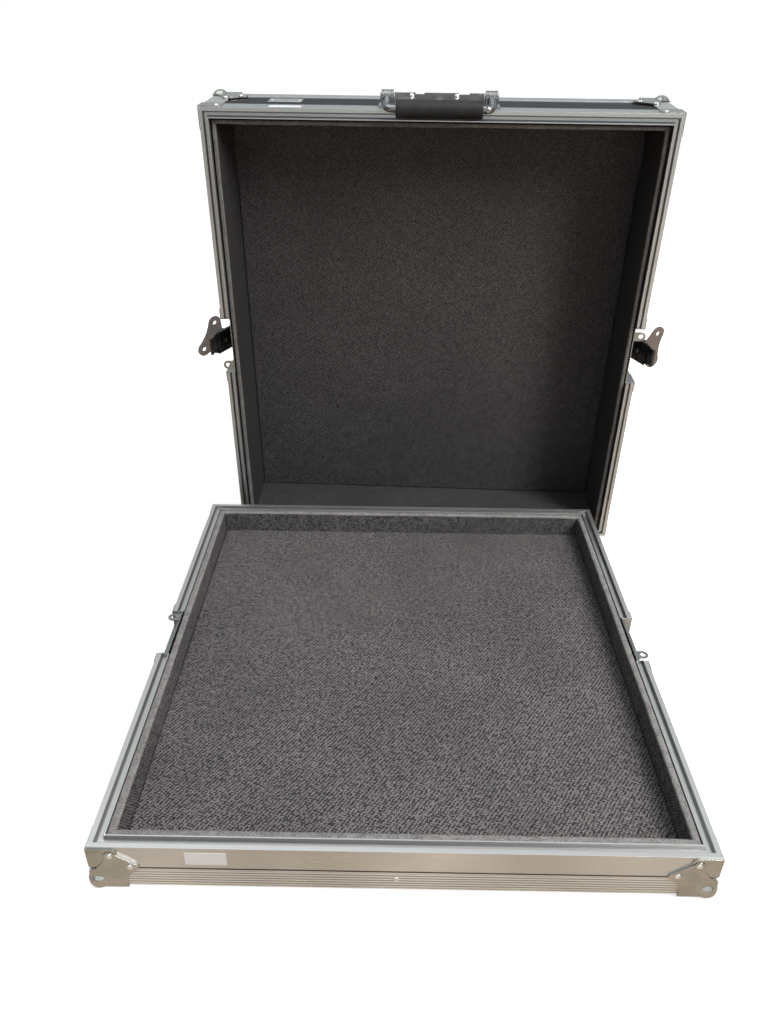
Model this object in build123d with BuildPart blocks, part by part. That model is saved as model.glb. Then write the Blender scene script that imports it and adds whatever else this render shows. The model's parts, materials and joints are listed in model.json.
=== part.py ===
"""Mixer flight case: a shallow base tray and a deep lift-off lid stood up behind it.

Both shells are laminated boards clasped by aluminium extrusions, with ball corners,
foam linings, two recessed butterfly latches and a swinging carry handle on the lid.
Millimetres. The origin is the centre of the base board's underside, +Z up, front at -Y.
Each shell is drawn in its own frame: origin at the middle of its opening plane,
+Z into the depth of the shell, so one set of functions draws the base and the lid.
"""

import os
from math import asin, atan2, cos, degrees, hypot, radians, sin

from build123d import *

# Case
case_width = 600.0
case_length = 634.0
base_height = 55.0
lid_height = 114.0

# Boards
board = 9.0
board_clearance = 0.2
clamp_margin = 0.5
clamp_depth = 0.1
skin_gap = 0.2

# Extrusions
sheet = 1.5
slot = board + 2 * board_clearance
inner_leg_inner = sheet + slot + sheet
rim_inner_leg = 18.0
rim_lip = 5.5
groove_depth = 5.0
groove_clearance = 0.6
channel_depth = 3.0
tongue_reach = 4.0
edge_leg = 25.0
leg_gap = 0.4
edge_inner_leg = 22.0
seam = 0.2

# Foam
base_foam_face = 23.0
lid_foam_face = 20.5
floor_foam = 11.0
lid_foam = 5.0
foam_clearance = 0.2
foam_below_rim = 1.0
rim_foam_gap = 0.6
lid_rim_foam_gap = 1.9
dish_foam_gap = 0.6

# Corner hardware
ball_radius = 11.5
ball_proud = 6.0
leaf_sheet = 1.8
brace_sheet = 1.2
brace_width = 28.0
brace_top = 2.0
brace_margin = 1.6
leaf_clearance = 0.3

# Rivets
rivet_radius = 3.4
rivet_rise = 1.7
front_rivet_along = 6.5
front_rivet_rise = 15.0

# Latches
latch_along = 0.0
cutout_half = 42.3
recess_half = 40.8
dish_sheet = 1.2
dish_depth = 12.0
flange_half = 56.0
base_recess = 22.8
base_flange = 29.2
lid_recess = 63.0
lid_flange = 70.0
ear_offset = 30.0
ear_radius = 6.5
ear_hole = 3.3
ear_inset = 3.0
ear_setback = 0.2
ear_sheet = 1.5
hub_depth = 22.0
left_hub_turn = -137.0
right_hub_turn = -178.0
full_hub_turn = -180.0
stem_radius = 5.0
running_gap = 0.06
tail_radius = 8.0
tail_dimple = 4.2
dimple_depth = 0.3
disc_rings = (11.0, 14.0)
ring_depth = 0.4
ring_width = 0.8
floor_gap = 0.1
cam_radius = 7.5
cam_height = 2.6
cam_throw = 2.0
cam_clearance = 1.0
disc_radius = 16.0
disc_thick = 3.3
disc_height = 8.4
hook_thick = 2.0
hook_half = 14.0
hook_tip_half = 12.0
hook_plate_top = 38.0
hook_lip = 2.3
hook_lip_sheet = 2.0
keeper_half = 18.0
keeper_near = 2.5
keeper_far = 5.0
keeper_rise = 2.2
keeper_clearance = 0.4
carrier_half = 16.0
carrier_near = 4.0
carrier_sheet = 1.4
carrier_gap = 0.3
carrier_lift = 26.0
rail_width = 1.6
rail_near = 6.0
rail_far = 40.0
pivot_depth = 50.0
pivot_inset = 6.5
pivot_pin_radius = 1.5
pivot_pin_gap = 0.05
pivot_barrel = 3.0
pivot_bracket = 2.0
wing_pin_radius = 1.5
wing_pin_gap = 0.05
wing_axis_inset = 0.6
barrel_radius = 2.9
barrel_gap = 0.3
lug_near = 3.0
lug_far = 8.0
barrel_far = 14.0
wing_sheet = 1.6
wing_root = 3.5
wing_root_half = 15.0
lobe_offset = 21.5
lobe_reach = 20.5
lobe_radius = 10.5
wing_waist = 27.6
lobe_hole = 3.2

# Handle
handle_pivot_depth = 30.0
handle_pivot_rise = 10.5
handle_arm = 42.6
bail_radius = 4.5
bail_rest_gap = 0.3
bail_half = 65.0
bail_bend = 9.0
eye_radius = 8.0
eye_width = 9.4
eye_side_gap = 0.3
pin_radius = 3.0
pin_gap = 0.05
pin_head_radius = 4.6
pin_head = 1.6
ear_plate = 2.5
ear_rise = 8.1
bracket_foot_near = 17.0
bracket_foot_far = 43.0
bracket_foot_sheet = 1.8
bracket_foot_reach = 3.6
grip_radius = 10.5
grip_half = 53.0
grip_bore_gap = 0.05
grip_round = 1.6
handle_plate_half = 56.5
handle_plate_sheet = 1.5
handle_plate_near = 6.0
web_depth = 38.5
handle_foot_rivet = 18.0
web_rise = 14.2
notch_depth = 1.6
web_notches = ((-30.0, -19.0), (24.0, 38.0))
web_rivets = (-35.0, 22.0)
web_rivet_rise = 9.9
foot_rivets = (-45.0, 0.0, 45.0)

# How the lid stands behind the base
lid_offset = 37.2
lid_gap = 28.7
lid_turn = -2.12

# Worked out from the sizes above
rim_leg = base_height - edge_leg - leg_gap
half_width = case_width / 2
half_length = case_length / 2
board_face = sheet + board_clearance
tube = inner_leg_inner
ball_inset = ball_radius - ball_proud
ball_depth = lid_height - ball_inset
lid_lean = -degrees(asin(ball_radius / hypot(ball_depth, ball_inset)) - atan2(ball_inset, ball_depth))
floor_level = -board_face - ball_proud
brace_bottom = rim_leg - brace_margin

os.makedirs("parts", exist_ok=True)


def save(piece, name):
    """Name the finished piece and write its file."""
    piece.part.label = name
    export_step(piece.part, "parts/" + name + ".step")


# Frames of the two shells
base_home = Plane(origin=(0, 0, base_height - board_face), x_dir=(1, 0, 0), z_dir=(0, 0, -1))
turn = radians(lid_turn)
lean = radians(lid_lean)
lid_across = Vector(cos(turn), sin(turn), 0)
lid_up = Vector(-sin(turn) * sin(lean), cos(turn) * sin(lean), cos(lean))
lid_into = Vector(-sin(turn) * cos(lean), cos(turn) * cos(lean), -sin(lean))
lid_foot = Vector(lid_offset, half_length + lid_gap, floor_level)
lid_home = Plane(origin=lid_foot + lid_up * half_length, x_dir=lid_across, z_dir=lid_into)

# Each side of a shell: the angle of its outward normal, its reach and its half length
base_sides = {
    "right": (0, half_width, half_length),
    "front": (90, half_length, half_width),
    "left": (180, half_width, half_length),
    "rear": (270, half_length, half_width),
}
lid_sides = {
    "right": (0, half_width, half_length),
    "rear": (90, half_length, half_width),
    "left": (180, half_width, half_length),
    "front": (270, half_length, half_width),
}


def in_shell(home, origin, x_dir, z_dir):
    """A plane given in a shell's frame, placed in the case."""
    return Plane(home * Plane(origin=origin, x_dir=x_dir, z_dir=z_dir))


def wall_plane(home, side, inset=0.0, along=0.0, depth=0.0):
    """X along a side, Y into the depth, Z outward, a given inset behind the outer face."""
    angle, reach, _ = side
    out_x, out_y = cos(radians(angle)), sin(radians(angle))
    spot = reach - inset
    origin = (out_x * spot - out_y * along, out_y * spot + out_x * along, depth)
    return in_shell(home, origin, (-out_y, out_x, 0), (out_x, out_y, 0))


def across_plane(face, along=0.0):
    """Section plane across a wall plane: X into the depth, Y outward, Z along the side."""
    return Plane(origin=face.origin + face.x_dir * along, x_dir=face.y_dir, z_dir=face.x_dir)


def section_plane(home, side, along=0.0):
    """Section of a side: X inward from the outer face, Y into the depth."""
    face = wall_plane(home, side, along=along)
    return Plane(origin=face.origin, x_dir=-face.z_dir, z_dir=face.x_dir)


def mitre_plane(home, side, end):
    """The slanting cut at one end of a side; its normal points off the end."""
    face = wall_plane(home, side)
    half = side[2]
    normal = (face.x_dir * end - face.z_dir).normalized()
    return Plane(origin=face.origin + face.x_dir * (end * half), x_dir=face.y_dir, z_dir=normal)


def turned_plane(plane, angle, along, depth):
    """A wall plane moved along the wall and turned about its outward normal."""
    return Plane(plane * Location((along, depth, 0), (0, 0, angle)))


def block(plane, x_range, y_range, z_range, mode=Mode.ADD):
    """Box between two limits on each axis of a plane."""
    middle = [(low + high) / 2 for low, high in (x_range, y_range, z_range)]
    length, width, height = [high - low for low, high in (x_range, y_range, z_range)]
    with Locations(plane * Location(middle)):
        Box(length, width, height, mode=mode)


def drum(plane, spot, radius, height, mode=Mode.ADD):
    """Cylinder along a plane's Z, its middle at a spot."""
    with Locations(plane * Location(spot)):
        Cylinder(radius, height, mode=mode)


def place_all(piece, planes):
    """Copies of a piece drawn at the world origin, one on each plane."""
    with Locations(*[plane.location for plane in planes]):
        add(piece.part)


def double_angle():
    """Edge extrusion: two outer legs, a square tube and two inner legs."""
    with BuildLine() as outline:
        Polyline(
            (0, 0),
            (edge_leg, 0),
            (edge_leg, sheet),
            (tube, sheet),
            (tube, tube - sheet),
            (edge_inner_leg, tube - sheet),
            (edge_inner_leg, tube),
            (tube, tube),
            (tube, edge_inner_leg),
            (tube - sheet, edge_inner_leg),
            (tube - sheet, tube),
            (sheet, tube),
            (sheet, edge_leg),
            (0, edge_leg),
            close=True,
        )
    make_face(outline.edges())
    with Locations((tube / 2, tube / 2)):
        Rectangle(slot, slot, mode=Mode.SUBTRACT)


def cut_ends(home, side):
    """Mitre both ends of the piece being built."""
    for end in (-1, 1):
        split(bisect_by=mitre_plane(home, side, end), keep=Keep.BOTTOM)


def cut_latch_gap(home, side):
    """Clear the length of a rim that the latch dish takes."""
    with BuildSketch(section_plane(home, side, latch_along)) as gap:
        Rectangle(4 * rim_leg, 4 * rim_leg)
    extrude(gap.sketch, amount=cutout_half, both=True, mode=Mode.SUBTRACT)


lip_inner = rim_lip - sheet
groove_floor = groove_depth + sheet
inner_lip_outer = tube + groove_clearance
base_rim_width = inner_lip_outer + sheet
channel_floor = channel_depth + sheet


def base_rim(side, latch):
    """Grooved rim extrusion of the base, mitred at both ends."""
    with BuildPart() as rim:
        with BuildSketch(section_plane(base_home, side)):
            with BuildLine():
                Polyline(
                    (0, 0),
                    (rim_lip, 0),
                    (rim_lip, groove_depth),
                    (inner_lip_outer, groove_depth),
                    (inner_lip_outer, 0),
                    (base_rim_width, 0),
                    (base_rim_width, groove_floor),
                    (tube, groove_floor),
                    (tube, rim_inner_leg),
                    (tube - sheet, rim_inner_leg),
                    (tube - sheet, groove_floor),
                    (lip_inner, groove_floor),
                    (lip_inner, sheet),
                    (sheet, sheet),
                    (sheet, rim_leg),
                    (0, rim_leg),
                    close=True,
                )
            make_face()
        extrude(amount=side[2], both=True)
        cut_ends(base_home, side)
        if latch:
            cut_latch_gap(base_home, side)
    return rim


def lid_rim(side, latch):
    """Tongued rim extrusion of the lid, mitred at both ends."""
    with BuildPart() as rim:
        with BuildSketch(section_plane(lid_home, side)):
            with BuildLine():
                Polyline(
                    (0, 0),
                    (rim_lip, 0),
                    (rim_lip, channel_depth),
                    (tube - sheet, channel_depth),
                    (tube - sheet, -tongue_reach),
                    (tube, -tongue_reach),
                    (tube, rim_inner_leg),
                    (tube - sheet, rim_inner_leg),
                    (tube - sheet, channel_floor),
                    (lip_inner, channel_floor),
                    (lip_inner, sheet),
                    (sheet, sheet),
                    (sheet, rim_leg),
                    (0, rim_leg),
                    close=True,
                )
            make_face()
        extrude(amount=side[2], both=True)
        cut_ends(lid_home, side)
        if latch:
            cut_latch_gap(lid_home, side)
    return rim


def far_edge(home, side, height):
    """Double-angle extrusion along the edge between a wall and the outer board."""
    face = section_plane(home, side)
    foot = Plane(origin=face.origin + face.y_dir * height, x_dir=face.x_dir, z_dir=-face.z_dir)
    with BuildPart() as edge:
        with BuildSketch(foot):
            double_angle()
        extrude(amount=side[2], both=True)
        cut_ends(home, side)
    return edge


def wall_board(home, side, height, top, latch, recess):
    """Laminated board of one wall, between the corner tubes and from rim to edge."""
    low = height - tube - skin_gap
    length = 2 * (side[2] - tube - skin_gap)
    face = wall_plane(home, side, board_face)
    with BuildPart() as wall:
        with BuildSketch(face):
            with Locations((0, (low + top) / 2)):
                Rectangle(length, low - top)
            if latch:
                with Locations((latch_along, (recess + dish_sheet) / 2)):
                    gap = recess + dish_sheet + 2 * seam
                    Rectangle(2 * cutout_half, gap, mode=Mode.SUBTRACT)
        extrude(amount=-board)
    return wall


def outer_board(home, height):
    """Board that closes the far side of a shell."""
    plane = in_shell(home, (0, 0, height - board_face), (1, 0, 0), (0, 0, 1))
    width = 2 * (half_width - tube - skin_gap)
    length = 2 * (half_length - tube - skin_gap)
    clear = 2 * (edge_leg + clamp_margin)
    with BuildPart() as panel:
        with BuildSketch(plane):
            Rectangle(width, length)
        extrude(amount=-board)
        with BuildSketch(plane) as clamped:
            Rectangle(width, length)
            Rectangle(case_width - clear, case_length - clear, mode=Mode.SUBTRACT)
        extrude(clamped.sketch, amount=-clamp_depth, mode=Mode.SUBTRACT)
    return panel


def flat_foam(home, height, thick, face_inset):
    """Foam pad glued inside the outer board, between the wall strips."""
    plane = in_shell(home, (0, 0, height - board_face - board - foam_clearance), (1, 0, 0), (0, 0, 1))
    margin = max(face_inset, edge_inner_leg) + foam_clearance
    width = 2 * (half_width - margin)
    length = 2 * (half_length - margin)
    with BuildPart() as pad:
        with BuildSketch(plane):
            Rectangle(width, length)
        extrude(amount=-thick)
    return pad


def wall_foam(home, side, height, face_inset, rim_back, latch, recess):
    """Foam strip on a wall, cut back beside the rim and behind a latch dish."""
    back = tube + foam_clearance
    far = height - tube - foam_clearance
    neck = rim_inner_leg + foam_clearance
    with BuildPart() as strip:
        with BuildSketch(section_plane(home, side)):
            with BuildLine():
                Polyline(
                    (rim_back, foam_below_rim),
                    (face_inset, foam_below_rim),
                    (face_inset, far),
                    (back, far),
                    (back, neck),
                    (rim_back, neck),
                    close=True,
                )
            make_face()
        extrude(amount=side[2], both=True)
        cut_ends(home, side)
        if latch:
            behind = dish_depth + dish_sheet + dish_foam_gap
            pocket = wall_plane(home, side, 0, latch_along)
            reach = recess + dish_sheet + dish_foam_gap
            half = cutout_half + foam_clearance
            block(pocket, (-half, half), (-reach, reach), (-behind, 0), Mode.SUBTRACT)
    return strip


def corner_planes(home, depth):
    """The four corners of a shell at a depth: X and Y run inward, Z out of the shell."""
    spots = ((1, 1, (-1, 0, 0)), (-1, 1, (0, -1, 0)), (-1, -1, (1, 0, 0)), (1, -1, (0, 1, 0)))
    return [
        in_shell(home, (sx * half_width, sy * half_length, depth), x_dir, (0, 0, 1))
        for sx, sy, x_dir in spots
    ]


# Outline of a ball corner's wall leaf: distance from the corner, height from the far face
leaf_neck = 22.0
leaf_curve = (9.5, 29.5)
leaf_shoulder = (15.6, 41.8)
leaf_crown = (19.6, 49.0)
leaf_fall = (26.2, 45.6)
leaf_tip_start = (44.5, 32.0)
leaf_tip = (47.6, 27.6)
leaf_tip_end = (43.5, 23.6)
leaf_hollow = (36.2, 14.0)
leaf_heel = (33.5, -leaf_sheet)
leaf_first_rivet = (21.0, 43.5)
leaf_second_rivet = (38.5, 28.5)
foot_leaf_mid = 23.0
foot_leaf_rivet = 18.0
brace_rivet = (21.0, 11.5)


def leaf_outline(grow=0.0, mode=Mode.ADD):
    """Leaf of a ball corner: X along the wall from the corner, Y up from the far face."""
    with BuildLine() as outline:
        Polyline(leaf_heel, (3, -leaf_sheet), (-leaf_sheet, 3), (-leaf_sheet, leaf_neck), (0, leaf_neck))
        ThreePointArc((0, leaf_neck), leaf_curve, leaf_shoulder)
        ThreePointArc(leaf_shoulder, leaf_crown, leaf_fall)
        Line(leaf_fall, leaf_tip_start)
        ThreePointArc(leaf_tip_start, leaf_tip, leaf_tip_end)
        ThreePointArc(leaf_tip_end, leaf_hollow, leaf_heel)
    with BuildSketch(mode=Mode.PRIVATE) as leaf:
        make_face(outline.edges())
        if grow:
            offset(amount=grow)
    add(leaf.sketch_local, mode=mode)


# The corner frame: X and Y inward from the sharp corner, Z outward through the far face
corner_mirror = Plane(origin=(0, 0, 0), x_dir=(0, 0, 1), z_dir=(1, -1, 0))


def corner_face(proud):
    """Outer face of one wall in the corner frame: X along it, Y away from the far face."""
    return Plane(origin=(0, -proud, 0), x_dir=(1, 0, 0), z_dir=(0, 1, 0))


with BuildPart() as ball_corner:
    with BuildSketch(corner_face(leaf_sheet)):
        leaf_outline()
    extrude(amount=leaf_sheet)
    mirror(about=corner_mirror)
    with BuildSketch(Plane.XY):
        with BuildLine():
            Polyline((leaf_heel[0], 0), (0, 0), (0, leaf_heel[0]))
            ThreePointArc((0, leaf_heel[0]), (foot_leaf_mid, foot_leaf_mid), (leaf_heel[0], 0))
        make_face()
    extrude(amount=leaf_sheet)
    with Locations(Location((ball_inset, ball_inset, -ball_inset), (45, 35, 0))):
        Sphere(ball_radius)
    with Locations((half_width / 2, half_width / 2, -half_width / 2)):
        Box(half_width, half_width, half_width, mode=Mode.SUBTRACT)


def corner_brace(height, faces=2):
    """Sheet brace round a rim corner in the corner frame, cut back round the ball leaf."""
    wrap = brace_sheet if faces == 2 else 0
    with BuildPart() as brace:
        with BuildSketch(corner_face(brace_sheet)) as blank:
            with Locations((-wrap, height - brace_bottom)):
                align = (Align.MIN, Align.MIN)
                Rectangle(brace_width + wrap, brace_bottom - brace_top, align=align)
            fillet(blank.vertices().group_by(Axis.X)[-1], radius=4)
            leaf_outline(leaf_clearance, Mode.SUBTRACT)
        extrude(amount=brace_sheet)
        if faces == 2:
            mirror(about=corner_mirror)
    return brace


with BuildPart() as rivet:
    cap = (rivet_radius**2 + rivet_rise**2) / (2 * rivet_rise)
    with Locations((0, 0, rivet_rise - cap)):
        Sphere(cap)
    with Locations((0, 0, -cap)):
        Box(4 * cap, 4 * cap, 2 * cap, mode=Mode.SUBTRACT)


def corner_rivets(home, height, plain_side=None):
    """Where the rivets of the ball corners and braces sit, as planes facing out."""
    spots = []
    shared = height - brace_rivet[1] - rivet_radius < leaf_crown[1] + leaf_clearance
    for number, plane in enumerate(corner_planes(home, height)):
        for along, up, proud in (
            (leaf_first_rivet[0], leaf_first_rivet[1], leaf_sheet),
            (leaf_second_rivet[0], leaf_second_rivet[1], leaf_sheet),
            (brace_rivet[0], height - brace_rivet[1], brace_sheet),
        ):
            if proud == brace_sheet and shared:
                continue
            first = Plane(origin=(along, -proud, -up), x_dir=(1, 0, 0), z_dir=(0, -1, 0))
            second = Plane(origin=(-proud, along, -up), x_dir=(0, 1, 0), z_dir=(-1, 0, 0))
            plain = plain_side if proud == brace_sheet else None
            if (number, plain) != (0, "rear"):
                spots.append(Plane(plane * first))
            if (number, plain) != (1, "rear"):
                spots.append(Plane(plane * second))
        spots.append(Plane(plane * Plane(origin=(foot_leaf_rivet, foot_leaf_rivet, leaf_sheet))))
    return spots


def latch_dish(face, recess, flange, ear_side, deep):
    """Pressed dish of one latch on a wall plane, open toward the rim, with its padlock ear."""
    back = -dish_depth - dish_sheet
    wide = recess_half + dish_sheet
    step = rim_leg + seam
    top = min(flange, step)
    block(face, (-flange_half, flange_half), (seam, top), (0, dish_sheet))
    if deep:
        low = -board_face + seam / 2
        block(face, (-flange_half, flange_half), (step, step + dish_sheet), (low, dish_sheet))
        block(face, (-flange_half, flange_half), (step, flange), (low, low + dish_sheet))
    rise = low + dish_sheet if deep else dish_sheet
    block(face, (-wide, wide), (seam, recess + dish_sheet), (back, rise))
    block(face, (-wide, wide), (seam, min(top, recess + dish_sheet)), (back, dish_sheet))
    inner = (-recess_half, recess_half)
    block(face, inner, (-recess, recess), (-dish_depth, 2 * dish_depth), Mode.SUBTRACT)
    edge_on = Plane(origin=face.origin + face.y_dir * ear_setback, x_dir=face.x_dir, z_dir=face.y_dir)
    with BuildSketch(edge_on) as ear:
        with Locations((ear_side * ear_offset, ear_inset)):
            Circle(ear_radius)
            align = (Align.CENTER, Align.MIN)
            Rectangle(2 * ear_radius, dish_depth - ear_inset + seam, align=align)
            Circle(ear_hole, mode=Mode.SUBTRACT)
    extrude(ear.sketch, amount=ear_sheet)


def pivot_axis(face):
    """The line a latch lifts about: Z along the wall, X into the depth."""
    middle = face.origin + face.y_dir * pivot_depth - face.z_dir * pivot_inset
    return Plane(origin=middle, x_dir=face.y_dir, z_dir=face.x_dir)


def lifted_plane(face):
    """The wall plane as it stands when its latch is lifted out about the pivot."""
    there = Location((0, pivot_depth, -pivot_inset))
    lift = Location((0, 0, 0), (-carrier_lift, 0, 0))
    back = Location((0, -pivot_depth, pivot_inset))
    return Plane(face * there * lift * back)


def flange_rivets(face, deep):
    """Rivets that hold a latch dish's side flanges."""
    along = (flange_half + cutout_half) / 2
    spots = [(-along, rim_leg / 2, dish_sheet), (along, rim_leg / 2, dish_sheet)]
    if deep:
        low = -board_face + seam / 2 + dish_sheet
        spots += [(-along, lid_recess - rivet_radius, low), (along, lid_recess - rivet_radius, low)]
    return [Plane(face * Location(spot)) for spot in spots]


# Base shell
with BuildPart() as base_floor:
    add(outer_board(base_home, base_height).part)
save(base_floor, "base_floor_board")

base_rim_back = base_rim_width + rim_foam_gap
for name, side in base_sides.items():
    latch = name in ("left", "right")
    wall = wall_board(base_home, side, base_height, groove_floor + skin_gap, latch, base_recess)
    save(wall, "base_wall_" + name)
    save(base_rim(side, latch), "base_rim_" + name)
    save(far_edge(base_home, side, base_height), "base_edge_" + name)
    strip = wall_foam(base_home, side, base_height, base_foam_face, base_rim_back, latch, base_recess)
    save(strip, "base_foam_" + name)
save(flat_foam(base_home, base_height, floor_foam, base_foam_face), "base_floor_foam")

with BuildPart() as base_balls:
    place_all(ball_corner, corner_planes(base_home, base_height))
save(base_balls, "base_ball_corners")

with BuildPart() as base_braces:
    place_all(corner_brace(base_height), corner_planes(base_home, base_height))
save(base_braces, "base_corner_braces")

base_faces = [wall_plane(base_home, base_sides[name], 0, latch_along) for name in ("left", "right")]
with BuildPart() as base_dishes:
    for face in base_faces:
        latch_dish(face, base_recess, base_flange, 1, False)
save(base_dishes, "base_latch_dishes")

with BuildPart() as base_keepers:
    for face in base_faces:
        foot = -dish_depth + 1
        half = (-keeper_half, keeper_half)
        block(face, half, (seam, keeper_far + 4), (-dish_depth, foot))
        block(face, half, (keeper_near, keeper_far), (-dish_depth, -dish_depth + keeper_rise))
save(base_keepers, "base_latch_keepers")

with BuildPart() as base_rivets:
    spots = corner_rivets(base_home, base_height)
    spots += [spot for face in base_faces for spot in flange_rivets(face, False)]
    front = wall_plane(base_home, base_sides["front"])
    spots.append(Plane(front * Location((front_rivet_along, base_height - front_rivet_rise, 0))))
    place_all(rivet, spots)
save(base_rivets, "base_rivets")

# Lid shell
with BuildPart() as lid_top:
    add(outer_board(lid_home, lid_height).part)
save(lid_top, "lid_top_board")

lid_rim_back = tube + lid_rim_foam_gap
for name, side in lid_sides.items():
    latch = name in ("left", "right")
    wall = wall_board(lid_home, side, lid_height, channel_floor + skin_gap, latch, lid_recess)
    save(wall, "lid_wall_" + name)
    save(lid_rim(side, latch), "lid_rim_" + name)
    save(far_edge(lid_home, side, lid_height), "lid_edge_" + name)
    strip = wall_foam(lid_home, side, lid_height, lid_foam_face, lid_rim_back, latch, lid_recess)
    save(strip, "lid_foam_" + name)
save(flat_foam(lid_home, lid_height, lid_foam, lid_foam_face), "lid_ceiling_foam")

with BuildPart() as lid_posts:
    for plane in corner_planes(lid_home, rim_leg + 2 * seam):
        with BuildSketch(plane) as section:
            double_angle()
        extrude(section.sketch, amount=lid_height - rim_leg - edge_leg - 3 * seam)
save(lid_posts, "lid_corner_posts")

with BuildPart() as lid_balls:
    place_all(ball_corner, corner_planes(lid_home, lid_height))
save(lid_balls, "lid_ball_corners")

# The lid stands on its rear wall, so the braces there stay on the side walls
lid_corners = corner_planes(lid_home, lid_height)
with BuildPart() as lid_braces:
    place_all(corner_brace(lid_height), lid_corners[2:])
    place_all(corner_brace(lid_height, 1), lid_corners[1:2])
    with BuildPart(mode=Mode.PRIVATE) as swapped:
        add(corner_brace(lid_height, 1).part)
        mirror(about=corner_mirror, mode=Mode.REPLACE)
    place_all(swapped, lid_corners[:1])
save(lid_braces, "lid_corner_braces")

lid_faces = [wall_plane(lid_home, lid_sides[name], 0, latch_along) for name in ("left", "right")]
with BuildPart() as lid_dishes:
    for face in lid_faces:
        latch_dish(face, lid_recess, lid_flange, -1, True)
        for end in (-1, 1):
            inner = carrier_half + carrier_gap
            wide = sorted((end * inner, end * (inner + pivot_bracket)))
            deep = (pivot_depth - pivot_barrel, pivot_depth + pivot_barrel)
            block(face, wide, deep, (-dish_depth, -pivot_inset))
            middle = (0, 0, end * (inner + pivot_bracket / 2))
            drum(pivot_axis(face), middle, pivot_barrel, pivot_bracket)
            drum(pivot_axis(face), middle, pivot_pin_radius + 0.02, 3 * pivot_bracket, Mode.SUBTRACT)
save(lid_dishes, "lid_latch_dishes")

with BuildPart() as pivot_pins:
    for face in lid_faces:
        long = 2 * (carrier_half + carrier_gap + pivot_bracket) + 1
        drum(pivot_axis(face), (0, 0, 0), pivot_pin_radius, long)
save(pivot_pins, "lid_latch_pivot_pins")

# Latch hubs, wings, pins and hooks
disc_top = -dish_depth + disc_height
disc_foot = disc_top - disc_thick
rail_top = disc_foot - 0.1
cam_foot = disc_foot - cam_height
plate_top = cam_foot - 0.1
plate_foot = plate_top - carrier_sheet
pin_level = -wing_axis_inset


def hook_travel(angle):
    """How far a hook stands out toward the base at a hub angle."""
    widest = cam_throw * (1 - cos(radians(full_hub_turn)))
    return widest * angle / full_hub_turn


def lobe_point(angle):
    """A point on the rim of a wing's lobe."""
    turn = radians(angle)
    return lobe_offset + lobe_radius * cos(turn), lobe_reach + lobe_radius * sin(turn)


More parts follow.
